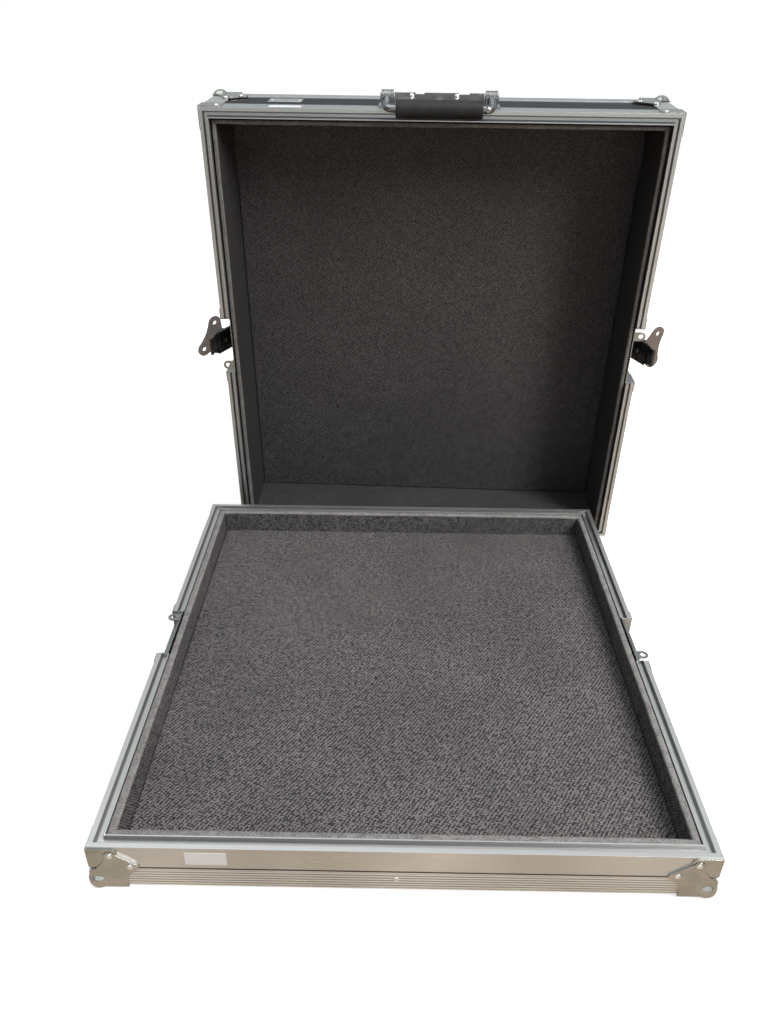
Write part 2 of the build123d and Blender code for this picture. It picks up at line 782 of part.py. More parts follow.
for name, rest in (("left", left_hub_turn), ("right", right_hub_turn)):
    face = lifted_plane(wall_plane(lid_home, lid_sides[name], 0, latch_along))
    with BuildPart() as carrier:
        half = (-carrier_half, carrier_half)
        block(face, half, (carrier_near, pivot_depth), (plate_foot, plate_top))
        block(face, half, (pivot_depth - pivot_barrel, pivot_depth), (plate_foot, -pivot_inset))
        for end in (-1, 1):
            rail = sorted((end * (carrier_half - rail_width), end * carrier_half))
            block(face, rail, (rail_near, rail_far), (plate_top, rail_top))
        drum(pivot_axis(face), (0, 0, 0), pivot_barrel, 2 * carrier_half)
        bore = pivot_pin_radius + pivot_pin_gap
        drum(pivot_axis(face), (0, 0, 0), bore, 4 * carrier_half, Mode.SUBTRACT)
        hole = stem_radius + running_gap
        drum(face, (0, hub_depth, plate_foot), hole, 4 * carrier_sheet, Mode.SUBTRACT)
    save(carrier, name + "_latch_carrier")

    hub_plane = turned_plane(face, rest, 0, hub_depth)
    with BuildPart() as hub:
        drum(hub_plane, (0, 0, (disc_top + disc_foot) / 2), disc_radius, disc_thick)
        for ring in disc_rings:
            drum(hub_plane, (0, 0, disc_top), ring, 2 * ring_depth, Mode.SUBTRACT)
            drum(hub_plane, (0, 0, disc_top - ring_depth / 2), ring - ring_width, ring_depth)
        drum(hub_plane, (0, cam_throw, (disc_foot + cam_foot) / 2), cam_radius, cam_height)
        tail_top = plate_foot - running_gap
        tail_foot = -dish_depth + floor_gap
        drum(hub_plane, (0, 0, (disc_foot + tail_top) / 2), stem_radius, disc_foot - tail_top)
        drum(hub_plane, (0, 0, (tail_top + tail_foot) / 2), tail_radius, tail_top - tail_foot)
        drum(hub_plane, (0, 0, tail_foot), tail_dimple, 2 * dimple_depth, Mode.SUBTRACT)
        for end in (-1, 1):
            cheek = Plane(origin=hub_plane.origin, x_dir=hub_plane.y_dir, z_dir=hub_plane.x_dir)
            middle = end * (lug_near + lug_far) / 2
            wide = lug_far - lug_near
            drum(cheek, (0, pin_level, middle), barrel_radius, wide)
            ends = (middle - wide / 2, middle + wide / 2)
            block(cheek, (-barrel_radius, barrel_radius), (disc_top - 0.5, pin_level), ends)
        drum(cheek, (0, pin_level, 0), wing_pin_radius, 2 * barrel_far + 1)
    save(hub, name + "_latch_hub")

    standing = Plane(
        origin=hub_plane.origin + hub_plane.z_dir * pin_level,
        x_dir=hub_plane.x_dir,
        z_dir=-hub_plane.y_dir,
    )
    with BuildPart() as wing:
        with BuildSketch(standing) as blade:
            with BuildLine():
                Polyline((0, wing_root), (wing_root_half, wing_root), lobe_point(-45))
                ThreePointArc(lobe_point(-45), lobe_point(17), lobe_point(100))
                ThreePointArc(lobe_point(100), (lobe_offset / 2, wing_waist + 1), (0, wing_waist))
                Line((0, wing_waist), (0, wing_root))
            make_face()
            mirror(about=Plane.YZ)
            with Locations((-lobe_offset, lobe_reach), (lobe_offset, lobe_reach)):
                Circle(lobe_hole, mode=Mode.SUBTRACT)
            barrel_middle = (lug_far + barrel_gap + barrel_far) / 2
            barrel_wide = barrel_far - lug_far - barrel_gap
            with Locations((-barrel_middle, wing_root / 2), (barrel_middle, wing_root / 2)):
                Rectangle(barrel_wide, wing_root + 0.2)
        extrude(blade.sketch, amount=wing_sheet / 2, both=True)
        for end in (-1, 1):
            spot = (0, pin_level, end * barrel_middle)
            drum(cheek, spot, barrel_radius, barrel_wide)
            drum(cheek, spot, wing_pin_radius + wing_pin_gap, 2 * barrel_wide, Mode.SUBTRACT)
    save(wing, name + "_latch_wing")

    out = hook_travel(rest)
    hook_top = disc_foot - 0.3
    hook_foot = hook_top - hook_thick
    tip = -keeper_far - keeper_clearance
    with BuildPart() as hook:
        block(face, (-hook_half, hook_half), (4 - out, hook_plate_top - out), (hook_foot, hook_top))
        block(face, (-hook_tip_half, hook_tip_half), (tip - out, 4 - out), (hook_foot, hook_top))
        lip_foot = hook_foot - hook_lip
        block(
            face,
            (-hook_tip_half, hook_tip_half),
            (tip - hook_lip_sheet - out, tip - out),
            (lip_foot, hook_top),
        )
        window = cam_radius + cam_clearance
        middle = hub_depth + cam_throw - out
        side_room = cam_radius + cam_throw + 0.5
        block(
            face,
            (-side_room, side_room),
            (middle - window, middle + window),
            (hook_foot, hook_top),
            Mode.SUBTRACT,
        )
    save(hook, name + "_latch_hook")

# Handle on the lid's front wall
front = wall_plane(lid_home, lid_sides["front"])
across = across_plane(front)

with BuildPart() as handle_plate:
    half = (-handle_plate_half, handle_plate_half)
    web_back = web_depth + handle_plate_sheet
    block(front, half, (handle_plate_near, web_back), (0, handle_plate_sheet))
    block(front, half, (web_depth, web_back), (0, web_rise))
    for notch in web_notches:
        block(front, notch, (web_depth, web_back), (web_rise - notch_depth, web_rise), Mode.SUBTRACT)
save(handle_plate, "handle_plate")

ear_inner = bail_half - eye_width / 2 - eye_side_gap
ear_outer = bail_half + eye_width / 2 + eye_side_gap
foot_inner = ear_inner - ear_plate
foot_outer = ear_outer + ear_plate + bracket_foot_reach
with BuildPart() as handle_brackets:
    for end in (-1, 1):
        foot = sorted((end * foot_inner, end * foot_outer))
        block(front, foot, (bracket_foot_near, bracket_foot_far), (0, bracket_foot_sheet))
        for inner in (foot_inner, ear_outer):
            middle = end * (inner + ear_plate / 2)
            with BuildSketch(across_plane(front, middle)) as ear:
                with Locations((handle_pivot_depth, handle_pivot_rise)):
                    Circle(ear_rise)
                with Locations((handle_pivot_depth, handle_pivot_rise / 2)):
                    Trapezoid(2 * ear_rise + 5.6, handle_pivot_rise, 75.1)
                with Locations((handle_pivot_depth, handle_pivot_rise)):
                    Circle(pin_radius + 0.02, mode=Mode.SUBTRACT)
            extrude(ear.sketch, amount=ear_plate / 2, both=True)
save(handle_brackets, "handle_brackets")

with BuildPart() as handle_pins:
    for end in (-1, 1):
        long = ear_outer - ear_inner + 2 * ear_plate
        drum(across, (handle_pivot_depth, handle_pivot_rise, end * bail_half), pin_radius, long)
        for reach in (foot_inner - pin_head / 4, ear_outer + ear_plate + pin_head / 2):
            thick = pin_head / 2 if reach < bail_half else pin_head
            drum(across, (handle_pivot_depth, handle_pivot_rise, end * reach), pin_head_radius, thick)
save(handle_pins, "handle_pins")

# The bail hangs over the lid's edge, just clear of its corner
pivot_reach = hypot(handle_pivot_depth, handle_pivot_rise)
corner_angle = atan2(handle_pivot_rise, handle_pivot_depth)
droop = corner_angle - asin((bail_radius + bail_rest_gap) / pivot_reach)
hang = (-front.y_dir * cos(droop) - front.z_dir * sin(droop)).normalized()
bail_plane = Plane(
    origin=front.origin + front.y_dir * handle_pivot_depth + front.z_dir * handle_pivot_rise,
    x_dir=front.x_dir,
    z_dir=front.x_dir.cross(hang),
)
arm_start = (pin_radius + eye_radius) / 2
arm_end = handle_arm - bail_bend
bar_half = bail_half - bail_bend
with BuildPart() as handle_bail:
    for end in (-1, 1):
        arm = Plane(
            origin=bail_plane.origin + bail_plane.x_dir * (end * bail_half),
            x_dir=bail_plane.x_dir,
            z_dir=bail_plane.y_dir,
        )
        drum(arm, (0, 0, (arm_start + arm_end) / 2), bail_radius, arm_end - arm_start)
        with BuildSketch(arm.offset(arm_end)) as rod:
            Circle(bail_radius)
        middle = arm.origin + bail_plane.y_dir * arm_end - bail_plane.x_dir * (end * bail_bend)
        turn_axis = Axis(middle, bail_plane.z_dir * end)
        revolve(rod.sketch, axis=turn_axis, revolution_arc=90)
    bar = Plane(
        origin=bail_plane.origin + bail_plane.y_dir * handle_arm,
        x_dir=bail_plane.y_dir,
        z_dir=bail_plane.x_dir,
    )
    drum(bar, (0, 0, 0), bail_radius, 2 * bar_half)
    for end in (-1, 1):
        drum(across, (handle_pivot_depth, handle_pivot_rise, end * bail_half), eye_radius, eye_width)
    for end in (-1, 1):
        spot = (handle_pivot_depth, handle_pivot_rise, end * bail_half)
        drum(across, spot, pin_radius + pin_gap, 2 * eye_width, Mode.SUBTRACT)
save(handle_bail, "handle_bail")

with BuildPart() as handle_grip:
    drum(bar, (0, 0, 0), grip_radius, 2 * grip_half)
    fillet(handle_grip.edges(), radius=grip_round)
    drum(bar, (0, 0, 0), bail_radius + grip_bore_gap, 3 * grip_half, Mode.SUBTRACT)
save(handle_grip, "handle_grip")

with BuildPart() as lid_rivets:
    spots = corner_rivets(lid_home, lid_height, "rear")
    spots += [spot for face in lid_faces for spot in flange_rivets(face, True)]
    for along in web_rivets:
        spots.append(
            Plane(
                front * Plane(origin=(along, web_depth, web_rivet_rise), x_dir=(1, 0, 0), z_dir=(0, -1, 0))
            )
        )
    for along in foot_rivets:
        spots.append(Plane(front * Location((along, handle_foot_rivet, handle_plate_sheet))))
    place_all(rivet, spots)
save(lid_rivets, "lid_rivets")
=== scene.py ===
"""Looks of the mixer flight case: finishes, foam linings, blank labels and a pale studio.

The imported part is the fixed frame. Metres, +Z up, the base in front and the lid standing
behind it. The finishes read object coordinates, which the extrusions and the foam turn into
their shell's own frame.
"""

import json
import math

import bmesh
import bpy
from bpy.props import FloatProperty, FloatVectorProperty, IntProperty, PointerProperty
from mathutils import Matrix, Vector, noise

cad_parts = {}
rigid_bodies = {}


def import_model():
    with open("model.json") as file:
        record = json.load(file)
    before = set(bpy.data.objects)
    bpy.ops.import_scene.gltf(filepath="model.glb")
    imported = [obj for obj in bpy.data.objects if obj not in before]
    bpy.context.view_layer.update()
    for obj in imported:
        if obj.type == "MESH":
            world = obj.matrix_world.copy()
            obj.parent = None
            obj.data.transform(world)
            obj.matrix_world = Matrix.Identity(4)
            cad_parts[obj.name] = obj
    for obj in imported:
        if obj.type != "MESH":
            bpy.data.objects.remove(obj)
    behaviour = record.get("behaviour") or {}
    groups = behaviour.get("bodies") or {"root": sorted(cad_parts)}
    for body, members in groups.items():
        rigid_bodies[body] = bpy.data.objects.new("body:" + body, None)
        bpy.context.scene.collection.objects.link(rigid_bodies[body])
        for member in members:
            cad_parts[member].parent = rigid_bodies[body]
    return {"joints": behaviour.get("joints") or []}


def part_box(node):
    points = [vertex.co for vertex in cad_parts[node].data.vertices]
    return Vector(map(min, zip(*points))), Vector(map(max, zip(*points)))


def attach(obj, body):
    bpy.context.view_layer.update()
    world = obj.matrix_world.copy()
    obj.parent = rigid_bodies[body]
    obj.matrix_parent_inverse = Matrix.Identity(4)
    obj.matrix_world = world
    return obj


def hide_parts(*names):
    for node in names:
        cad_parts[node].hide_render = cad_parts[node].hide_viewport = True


bl_info = {
    "name": "Mixer Flight Case Looks",
    "version": (1, 0, 0),
    "blender": (4, 5, 0),
    "location": "View3D > Sidebar > Case",
    "description": "Finishes, foam linings, blank labels and studio for a mixer flight case",
    "category": "Object",
}

MM = 0.001

# Sizes shared with the part, in millimetres
HALF_WIDTH = 300.0
HALF_LENGTH = 317.0
BASE_RIM_LEVEL = 53.3
BASE_HEIGHT = 55.0
LID_HEIGHT = 114.0
# The handle's axis, below the lid's opening plane and above its front wall
HANDLE_DEPTH = 30.0
HANDLE_STAND = 10.5
# A latch hub's stem, from its joint's point to its far end
STEM_REACH = 11.62

# A shell's own axes: across it, down its length and into its depth
ACROSS, DOWN, DEPTH = range(3)

# The walls of each shell: angle of the outward side, its reach and half its length
BASE_SIDES = {
    "right": (0, HALF_WIDTH, HALF_LENGTH),
    "front": (90, HALF_LENGTH, HALF_WIDTH),
    "left": (180, HALF_WIDTH, HALF_LENGTH),
    "rear": (270, HALF_LENGTH, HALF_WIDTH),
}
LID_SIDES = {
    "right": (0, HALF_WIDTH, HALF_LENGTH),
    "rear": (90, HALF_LENGTH, HALF_WIDTH),
    "left": (180, HALF_WIDTH, HALF_LENGTH),
    "front": (270, HALF_LENGTH, HALF_WIDTH),
}

# Pattern of the extrusions, in millimetres. The ribs start this far from the outer face, with
# painted shade in their hollows, and the seam's painted shade runs between two depths. Grooves lie
# between the lips of the rims: each runs between two distances inward from the walls and has a
# share of painted shade.
RIB_START = 23.0
RIB_PITCH = 3.6
RIB_COUNT = 6.0
SEAM = (28.6, 30.2)
SEAM_SOFT = 0.6
LIP_DEPTH = 6.2
GROOVE_SOFT = 0.35
BASE_GROOVES = ((5.5, 7.0, 0.5), (11.8, 13.0, 0.5))
LID_GROOVES = ((4.6, 6.4, 0.8), (9.9, 10.9, 0.8))

# Foam linings, in millimetres. A strip's back and face and the pad's inset are measured
# inward from the walls' outer faces, and the rest into the shell from its opening. The lit and
# shaded shares are shares of the foam's colour for the floor, the long strips and the side
# strips: painted light and shade, much darker in the lid. The fineness is the scale of its specks.
STRIP_TOP = 1.0
STRIP_ROUND = 2.2
STRIP_FOOT = 12.6
PAD_ROUND = 1.6
BASE_LINING = {
    "body": "base_tray",
    "pad_node": "base_floor_foam",
    "strip": {"back": 15.1, "face": 23.0, "foot": BASE_HEIGHT - STRIP_FOOT},
    "pad": {"inset": 23.2, "near": BASE_HEIGHT - 21.9, "far": BASE_HEIGHT - 10.9, "seed": 3.7},
    "lit_and_shaded_shares": {"floor": 0.88, "front": 0.6864, "side": 0.7744},
    "contrast": 1.0,
    "fineness": 800.0,
}
LID_LINING = {
    "body": "lid_shell",
    "pad_node": "lid_ceiling_foam",
    "strip": {"back": 14.8, "face": 20.5, "foot": LID_HEIGHT - STRIP_FOOT},
    "pad": {"inset": 20.7, "near": LID_HEIGHT - 15.9, "far": LID_HEIGHT - STRIP_FOOT, "seed": 8.1},
    "lit_and_shaded_shares": {"floor": 0.62, "front": 0.4836, "side": 0.248},
    "contrast": 0.56,
    "fineness": 1100.0,
}
FLOOR_WEAVE = 3.6
WALL_WEAVE = 2.8

# Blank labels and plate, in millimetres: the middle along the wall and into the shell, and
# how far the back and the face stand out of the wall. A dome has a radius and a rise.
BASE_LABEL = ((188.0, 14.75), (0.02, 0.2))
LID_LABEL = ((-192.5, 13.0), (0.02, 0.18))
PLATE = ((-200.0, 69.5), (-1.68, -0.7))
PLATE_EDGE = 0.25
PLATE_RIVET_INSET = 4.0
PLATE_RIVET_FOOT = -0.75
PLATE_RIVET_DOME = (1.9, 0.9)
STEM_END_DOME = (3.4, 0.25)

# What the room shows to glossy metal: stops by the height of a ray, from floor to ceiling
ROOM_FLOOR = (0.05, 0.046, 0.043)
ROOM_WALL = (0.94, 0.98, 1.0)
ROOM_CEILING = (0.38, 0.4, 0.42)
ROOM_BANDS = (
    (0.06, 0.08),
    (0.12, 0.5),
    (0.28, 0.5),
    (0.33, 0.10),
    (0.42, 0.10),
    (0.46, 0.88),
    (0.54, 0.95),
    (0.58, 0.12),
    (0.63, 0.12),
    (0.67, 0.95),
    (0.80, 0.95),
)
CEILING_START = 0.92
WHITE = (1.0, 1.0, 1.0)

# The studio floor, in metres: half its side and how far it lies under the lowest corner
FLOOR_HALF = 30.0
FLOOR_GAP = 0.0002

for leftover in list(bpy.data.objects):
    bpy.data.objects.remove(leftover)
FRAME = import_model()
JOINTS = {joint["name"]: joint for joint in FRAME["joints"]}


def base_axes():
    """The base's own frame: origin in its opening, across, toward the viewer, into the tray."""
    origin = Vector((0, 0, BASE_RIM_LEVEL * MM))
    return origin, Vector((1, 0, 0)), Vector((0, -1, 0)), Vector((0, 0, -1))


def lid_axes():
    """The lid's own frame, from its joints: origin, across, toward the floor, into the lid."""
    across = -Vector(JOINTS["handle_swing"]["axis"]).normalized()
    up = Vector(JOINTS["left_latch_lift"]["axis"]).normalized()
    into = up.cross(across).normalized()
    pivot = Vector(JOINTS["handle_swing"]["pos_m"])
    origin = pivot - into * HANDLE_DEPTH * MM - up * (HANDLE_STAND + HALF_LENGTH) * MM
    return origin, across, -up, into


def side_axes(axes, angle, reach):
    """A wall of a shell: a point on its outer face, along it, into the depth and outward."""
    origin, across, down, into = axes
    turn = math.radians(angle)
    out = across * math.cos(turn) + down * math.sin(turn)
    along = down * math.cos(turn) - across * math.sin(turn)
    return origin + out * reach * MM, along, into, out


def arithmetic(operation):
    """An operator on shader values and its reflected form, as a Math node."""

    def plain(self, other):
        return self.graph.math(operation, self, other)

    def reflected(self, other):
        return self.graph.math(operation, other, self)

    return plain, reflected


class Value:
    """A shader socket with arithmetic."""

    def __init__(self, graph, socket):
        self.graph = graph
        self.socket = socket

    __add__, __radd__ = arithmetic("ADD")
    __sub__, __rsub__ = arithmetic("SUBTRACT")
    __mul__, __rmul__ = arithmetic("MULTIPLY")
    __truediv__, __rtruediv__ = arithmetic("DIVIDE")


class Graph:
    """The node tree of one material, or of the world."""

    def __init__(self, owner, output="ShaderNodeOutputMaterial"):
        self.owner = owner
        owner.use_nodes = True
        self.tree = owner.node_tree
        self.tree.nodes.clear()
        self.output = self.tree.nodes.new(output)

    def put(self, socket, value):
        """Set a socket, or link it to a value."""
        if isinstance(value, Value):
            self.tree.links.new(value.socket, socket)
        elif socket.type == "RGBA":
            socket.default_value = (*value, 1.0)
        else:
            socket.default_value = value

    def node(self, kind, inputs=None, output=0, stops=(), **settings):
        """A node with its settings, a ramp's stops and its inputs; returns one of its outputs."""
        made = self.tree.nodes.new(kind)
        for name, value in settings.items():
            setattr(made, name, value)
        if stops:
            (low, low_colour), *between, (high, high_colour) = stops
            first, last = made.color_ramp.elements
            first.position, first.color = low, (*low_colour, 1.0)
            last.position, last.color = high, (*high_colour, 1.0)
            for position, colour in between:
                made.color_ramp.elements.new(position).color = (*colour, 1.0)
        for name, value in (inputs or {}).items():
            self.put(made.inputs[name], value)
        return Value(self, made.outputs[output])

    def math(self, operation, *values):
        """A maths node."""
        return self.node("ShaderNodeMath", dict(enumerate(values)), operation=operation)

    def point(self, source="Object"):
        """Coordinates as one vector."""
        return self.node("ShaderNodeTexCoord", output=source)

    def split(self, vector):
        """The three parts of a vector."""
        parts = self.node("ShaderNodeSeparateXYZ", {0: vector}).socket.node.outputs
        return [Value(self, part) for part in parts]

    def place(self, axes):
        """Object coordinates along the axes of a shell."""
        origin, *directions = axes
        inputs = {0: self.point(), 1: tuple(origin)}
        moved = self.node("ShaderNodeVectorMath", inputs, operation="SUBTRACT")
        return [
            self.node(
                "ShaderNodeVectorMath",
                {0: moved, 1: tuple(direction)},
                output="Value",
                operation="DOT_PRODUCT",
            )
            for direction in directions
        ]

    def vector(self, x, y, z):
        """Three values as one vector."""
        return self.node("ShaderNodeCombineXYZ", {"X": x, "Y": y, "Z": z})

    def noise(self, vector, scale=1.0, detail=3.0, roughness=0.6):
        """Smooth noise from 0 to 1."""
        inputs = {"Vector": vector, "Scale": scale, "Detail": detail, "Roughness": roughness}
        return self.node("ShaderNodeTexNoise", inputs)

    def wave(self, value, pitch):
        """A sine wave from 0 to 1 with a pitch in millimetres."""
        return self.math("SINE", value * (2 * math.pi / (pitch * MM))) * 0.5 + 0.5

    def span(self, value, low, high, new_low=0.0, new_high=1.0):
        """Map a range onto another, held at its ends."""
        inputs = {
            "Value": value,
            "From Min": low,
            "From Max": high,
            "To Min": new_low,
            "To Max": new_high,
        }
        return self.node("ShaderNodeMapRange", inputs, clamp=True)

    def band(self, value, low, high, soft):
        """1 between two limits in millimetres, falling to 0 over a soft width outside them."""
        rise = self.span(value, (low - soft) * MM, low * MM)
        return rise * self.span(value, high * MM, (high + soft) * MM, 1.0, 0.0)

    def blend(self, share, first, second):
        """Colour between two colours, by the Mix node's colour sockets."""
        return self.node(
            "ShaderNodeMix", {0: share, 6: first, 7: second}, output=2, data_type="RGBA"
        )

    def bump(self, height, depth, strength=1.0, soft_edge=0.0):
        """Normal from a height, with rounded edges where asked."""
        inputs = {"Height": height, "Distance": depth, "Strength": strength}
        if soft_edge:
            inputs["Normal"] = self.node("ShaderNodeBevel", {"Radius": soft_edge}, samples=4)
        return self.node("ShaderNodeBump", inputs)

    def finish(self, shader):
        """End the tree in a shader and return its owner."""
        self.put(self.output.inputs["Surface"], shader)
        return self.owner

    def principled(self, **inputs):
        """End the tree in a principled surface."""
        names = {name.replace("_", " "): value for name, value in inputs.items()}
        return self.finish(self.node("ShaderNodeBsdfPrincipled", names))


def tone(colour, share):
    """A colour made darker or lighter."""
    return tuple(channel * share for channel in colour)


def aluminium(name, shell, grain, tint, rib_start=None, grooves=()):
    """Satin anodised extrusion: lengthwise grain, smudges, ribs, painted shade in their hollows, at
    the seam and between lips.
    """
    g = Graph(bpy.data.materials.new(name))
    place = g.place(shell)
    stretched = [axis * (6.0 if n == grain else 900.0) for n, axis in enumerate(place)]
    fine = g.noise(g.vector(*stretched))
    smudge = g.noise(g.vector(*place), 14.0)
    colour = g.blend(g.span(smudge, 0.35, 0.7), tint, tone(tint, 0.9))
    colour = g.blend(g.span(fine, 0.3, 0.7, 0.0, 0.35), colour, tone(tint, 0.82))
    rough = g.span(smudge, 0.3, 0.75, 0.26, 0.4) + g.span(fine, 0.3, 0.7, -0.03, 0.05)
    height = fine * 0.12
    if rib_start is not None:
        local = (place[DEPTH] - rib_start * MM) / (RIB_PITCH * MM)
        ribbed = g.math("GREATER_THAN", local, 0.0) * g.math("LESS_THAN", local, RIB_COUNT)
        crest = g.span(g.math("PINGPONG", local, 0.5), 0.1, 0.26)
        height = height + (crest - 1.0) * ribbed * 2.0
        # Painted shade in the hollows between the ribs
        colour = g.blend((1.0 - crest) * ribbed, colour, tone(tint, 0.32))
    if grooves:
        from_sides = HALF_WIDTH * MM - g.math("ABSOLUTE", place[ACROSS])
        from_ends = HALF_LENGTH * MM - g.math("ABSOLUTE", place[DOWN])
        inward = g.math("MINIMUM", from_sides, from_ends)
        lips = g.math("LESS_THAN", place[DEPTH], LIP_DEPTH * MM)
        for low, high, share in grooves:
            shaded = g.band(inward, low, high, GROOVE_SOFT) * lips * share
            colour = g.blend(shaded, colour, tone(tint, 0.12))
    if grain != DEPTH:
        # Painted shade of the gap where the rim meets the edge piece
        seam_shade = g.band(place[DEPTH], *SEAM, SEAM_SOFT)
        colour = g.blend(seam_shade * 0.95, colour, tone(tint, 0.06))
    normal = g.bump(height, 0.00025, 0.7, soft_edge=0.0005)
    return g.principled(Base_Color=colour, Metallic=0.86, Roughness=rough, Normal=normal)


def plated(name, tint, rough, scratch, metallic=1.0):
    """Zinc or nickel plated pressed steel with fine random scratches and dull patches."""
    g = Graph(bpy.data.materials.new(name))
    point = g.point()
    x, y, z = g.split(point)
    dull = g.noise(point, 55.0)
    lines = g.noise(g.vector(x * 2200.0, y * 240.0, z * 900.0), detail=2.0, roughness=0.5)
    fine = g.noise(point, 900.0, detail=2.0)
    colour = g.blend(g.span(dull, 0.35, 0.7), tint, tone(tint, 0.78))
    amount = g.span(dull, 0.3, 0.75, *rough) + g.span(lines, 0.35, 0.7, -0.02, 0.06)
    height = fine * 0.4 + lines * scratch
    normal = g.bump(height, 0.00008, 0.5, soft_edge=0.0004)
    return g.principled(Base_Color=colour, Metallic=metallic, Roughness=amount, Normal=normal)


def laminate(tint):
    """Black faced board: fine pebble, dust and a few light rubs."""
    g = Graph(bpy.data.materials.new("black_laminate"))
    point = g.point()
    pebble = g.noise(point, 1400.0, detail=2.0)
    dust = g.noise(point, 40.0, detail=5.0, roughness=0.7)
    return g.principled(
        Base_Color=g.blend(g.span(dust, 0.45, 0.8, 0.0, 0.5), tint, (0.05, 0.048, 0.046)),
        Roughness=g.span(dust, 0.3, 0.8, 0.44, 0.6),
        Normal=g.bump(pebble, 0.00015, 0.6),
        Specular_IOR_Level=0.22,
    )


def foam(name, tint, shell, first, second, pitch, painted_light_share, contrast, fineness):
    """Closed-cell foam with a slanting weave embossed on its skin, drawn on two axes."""
    g = Graph(bpy.data.materials.new(name))
    place = g.place(shell)
    a, b = place[first], place[second]
    whole = g.vector(*place)
    stray = g.noise(whole, 60.0) * 0.0045
    twill = g.wave(a * 0.82 + b * 0.57 + stray, pitch)
    cross = g.wave(a * 0.36 - b * 0.93 + stray, pitch * 0.87)
    weave = twill * 0.62 + cross * 0.38
    pores = g.noise(whole, 600.0, roughness=0.75)
    inputs = {"Vector": whole, "Scale": fineness}
    cells = g.node("ShaderNodeTexVoronoi", inputs, output="Color")
    speck = g.node("ShaderNodeSeparateColor", {"Color": cells})
    clump = g.span(g.noise(whole, fineness * 0.3, detail=2.0), 0.38, 0.62)
    light = g.span(weave * 0.42 + speck * 0.38 + clump * 0.2, 0.4, 0.6)
    patch = g.noise(whole, 9.0)
    # Both tones of the weave are scaled by this face's share of painted light and shade
    dark = tone((0.010, 0.009, 0.0095), painted_light_share)
    pale = [low + (c - low) * contrast for low, c in zip(dark, tone(tint, painted_light_share))]
    colour = g.blend(light, dark, pale)
    colour = g.blend(g.span(patch, 0.4, 0.7, 0.0, 0.25), colour, tone(dark, 1.5))
    return g.principled(
        Base_Color=colour,
        Roughness=g.span(pores, 0.3, 0.7, 0.62, 0.85),
        Normal=g.bump(weave * 0.16 + pores, 0.0009 * contrast, 0.8),
    )


def cut_foam(name, tint):
    """Cut edge of the foam: open cells, paler than the skin."""
    g = Graph(bpy.data.materials.new(name))
    point = g.point()
    cell = g.noise(point, 700.0, detail=4.0, roughness=0.75)
    patch = g.noise(point, 90.0)
    share = g.span(cell * 0.75 + patch * 0.25, 0.4, 0.6)
    colour = g.blend(share, tone(tint, 0.35), tint)
    return g.principled(Base_Color=colour, Roughness=0.85, Normal=g.bump(cell, 0.0008, 0.8))


def moulded(name, tint, rough, specular=0.5):
    """Black moulded or coated piece with a fine grain."""
    g = Graph(bpy.data.materials.new(name))
    point = g.point()
    grain = g.noise(point, 1800.0, detail=2.0)
    patch = g.noise(point, 70.0)
    worn = tuple(channel * 1.8 + 0.004 for channel in tint)
    return g.principled(
        Base_Color=g.blend(g.span(patch, 0.35, 0.7), tint, worn),
        Roughness=g.span(patch, 0.3, 0.7, rough, rough + 0.12),
        Normal=g.bump(grain, 0.0001, 0.6, soft_edge=0.0004),
        Specular_IOR_Level=specular,
    )


def paper(tint):
    """Blank pale label with faint fibre and edge soiling."""
    g = Graph(bpy.data.materials.new("blank_label"))
    point = g.point()
    fibre = g.noise(point, 900.0, detail=4.0, roughness=0.7)
    soil = g.noise(point, 60.0)
    return g.principled(
        Base_Color=g.blend(g.span(soil, 0.4, 0.75, 0.0, 0.5), tint, (0.82, 0.84, 0.88)),
        Roughness=g.span(fibre, 0.3, 0.7, 0.45, 0.6),
        Normal=g.bump(fibre, 0.00005, 0.5),
    )


def shade(target, *materials):
    """Give an object its materials in place of those it has."""
    slots = target.data.materials
    while len(slots) > len(materials):
        slots.pop()
    for number, material in enumerate(materials):
        if number < len(slots):
            slots[number] = material
        else:
            slots.append(material)


def shade_nodes(material, *names):
    """Give a material to nodes of the part."""
    for name in names:
        shade(bpy.data.objects[name], material)


def add_object(name, data):
    """Put an object with its data into the scene."""
    made = bpy.data.objects.new(name, data)
    bpy.context.scene.collection.objects.link(made)
    return made


def add_mesh(name, shape):
    """Put a bmesh into the scene as an object."""
    mesh = bpy.data.meshes.new(name)
    shape.to_mesh(mesh)
    shape.free()
    return add_object(name, mesh)


def finish_mesh(name, shape, materials, body):
    """Make an object of a bmesh, with its finish, body and slot."""
    bmesh.ops.recalc_face_normals(shape, faces=shape.faces)
    piece = add_mesh(name, shape)
    for face in piece.data.polygons:
        face.use_smooth = True
    shade(piece, *materials)
    piece.data.set_sharp_from_angle(angle=math.radians(38))
    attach(piece, body)
    return piece


def wobble(seed, place, size):
    """Smooth value from about -1 to 1 along a line."""
    return noise.noise(Vector((seed * 7.31, place / size, seed * 1.7))) * 1.6


def unevenness(spot, coarse, fine):
    """Coarse and fine waves along a line, each a seed and a size, mostly above 0."""
    return wobble(coarse[0], spot, coarse[1]) + 0.5 * wobble(fine[0], spot, fine[1]) + 1.2


def quarter(steps):
    """Angles of a quarter turn in equal steps."""
    return [math.radians(90 * n / steps) for n in range(steps + 1)]


